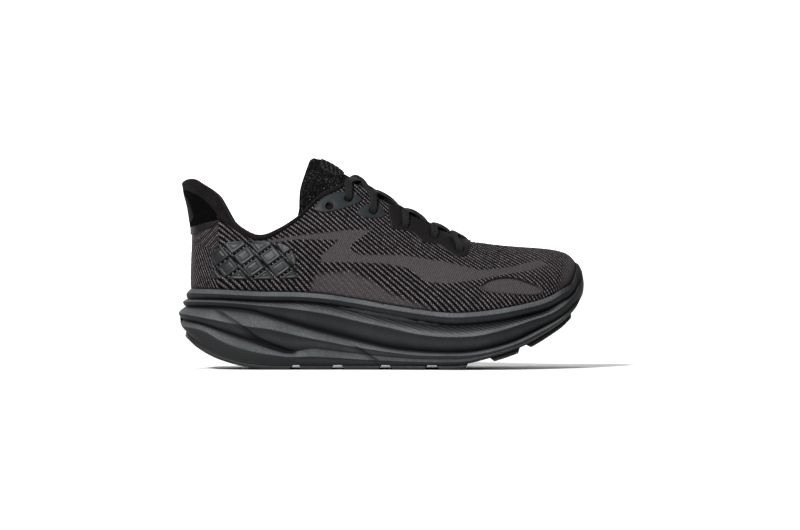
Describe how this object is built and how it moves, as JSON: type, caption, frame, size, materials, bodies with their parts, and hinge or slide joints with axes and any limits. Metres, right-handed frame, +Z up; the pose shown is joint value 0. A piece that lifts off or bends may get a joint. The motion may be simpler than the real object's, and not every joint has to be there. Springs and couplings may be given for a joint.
{
  "type": "running shoe",
  "caption": "Low-cut cushioned running shoe for the right foot: thick rocker foam sole, knitted upper, flared heel tab, padded tongue, laced",
  "frame": {"origin": "on the ground under the middle of the shoe's length and width", "axes": "+X to the toe, +Z up, -Y to the outer (lateral) side of this right shoe"},
  "size_m": [0.2998, 0.1118, 0.1552],
  "materials": {
    "midsole_foam": "moulded EVA foam, fine matt skin with ribbed grooves",
    "tread_rubber": "matt moulded rubber",
    "board_fleece": "non-woven board",
    "insole_foam": "open cell insole foam",
    "insole_cloth": "brushed knit top cloth",
    "knit": "two-tone engineered knit, ribbed on the bias",
    "stiffener": "thermoplastic sheet",
    "padding_foam": "open cell polyurethane foam",
    "lining_mesh": "brushed spacer mesh",
    "collar_fabric": "soft knitted collar fabric",
    "film": "bonded TPU film, satin",
    "tongue_fabric": "fine padded mesh",
    "tongue_label": "embossed rubber print",
    "elastic": "stretch mesh",
    "lace": "flat woven polyester lace",
    "aglet": "smooth plastic tip"
  },
  "bodies": {
    "shoe": {"midsole": "midsole_foam", "outsole_heel_lateral": "tread_rubber", "outsole_heel_medial": "tread_rubber", "outsole_midfoot_rear_lateral": "tread_rubber", "outsole_midfoot_rear_medial": "tread_rubber", "outsole_midfoot_front_lateral": "tread_rubber", "outsole_midfoot_front_medial": "tread_rubber", "outsole_forefoot_rear_lateral": "tread_rubber", "outsole_forefoot_rear_medial": "tread_rubber", "outsole_forefoot_middle_lateral": "tread_rubber", "outsole_forefoot_middle_medial": "tread_rubber", "outsole_forefoot_front_lateral": "tread_rubber", "outsole_forefoot_front_medial": "tread_rubber", "outsole_toe": "tread_rubber", "insole_board": "board_fleece", "knit_upper": "knit", "heel_counter": "stiffener", "toe_puff": "stiffener", "collar_foam": "padding_foam", "collar_lining": "lining_mesh", "collar_binding_lateral": "collar_fabric", "collar_binding_medial": "collar_fabric", "heel_seam_film": "film", "top_eyelet_patch_lateral": "film", "second_eyelet_patch_lateral": "film", "eyestay_film_lateral": "film", "quarter_patch_lateral": "film", "forefoot_overlay_lateral": "film", "top_eyelet_patch_medial": "film", "second_eyelet_patch_medial": "film", "eyestay_film_medial": "film", "quarter_patch_medial": "film", "forefoot_overlay_medial": "film", "tongue_base_cover": "tongue_fabric", "tongue_base_foam": "padding_foam", "tongue_base_lining": "lining_mesh", "tongue_gusset_lateral": "elastic", "tongue_gusset_medial": "elastic", "lace": "lace", "lace_aglet_lateral": "aglet", "lace_aglet_medial": "aglet"},
    "tongue_top": {"tongue_top_cover": "tongue_fabric", "tongue_top_foam": "padding_foam", "tongue_top_lining": "lining_mesh", "tongue_label": "tongue_label"},
    "insole": {"insole_foam": "insole_foam", "insole_cloth": "insole_cloth"},
    "heel_tab": {"heel_tab_cover": "collar_fabric", "heel_tab_foam": "padding_foam", "heel_tab_lining": "lining_mesh"}
  },
  "joints": [
    {"name": "tongue_fold", "type": "hinge", "parent": "shoe", "child": "tongue_top", "pos_m": [-0.0183, 0.0015, 0.135], "axis": [0, 1, 0], "range_deg": [-5, 32], "stiffness_Nm_per_rad": 0.08},
    {"name": "insole_lift", "type": "hinge", "parent": "shoe", "child": "insole", "pos_m": [0.1307, 0.0015, 0.047], "axis": [0, 1, 0], "range_deg": [0, 10]},
    {"name": "heel_tab_flex", "type": "hinge", "parent": "shoe", "child": "heel_tab", "pos_m": [-0.1403, 0.0015, 0.1025], "axis": [0, -1, 0], "range_deg": [0, 20], "stiffness_Nm_per_rad": 0.3}
  ]
}
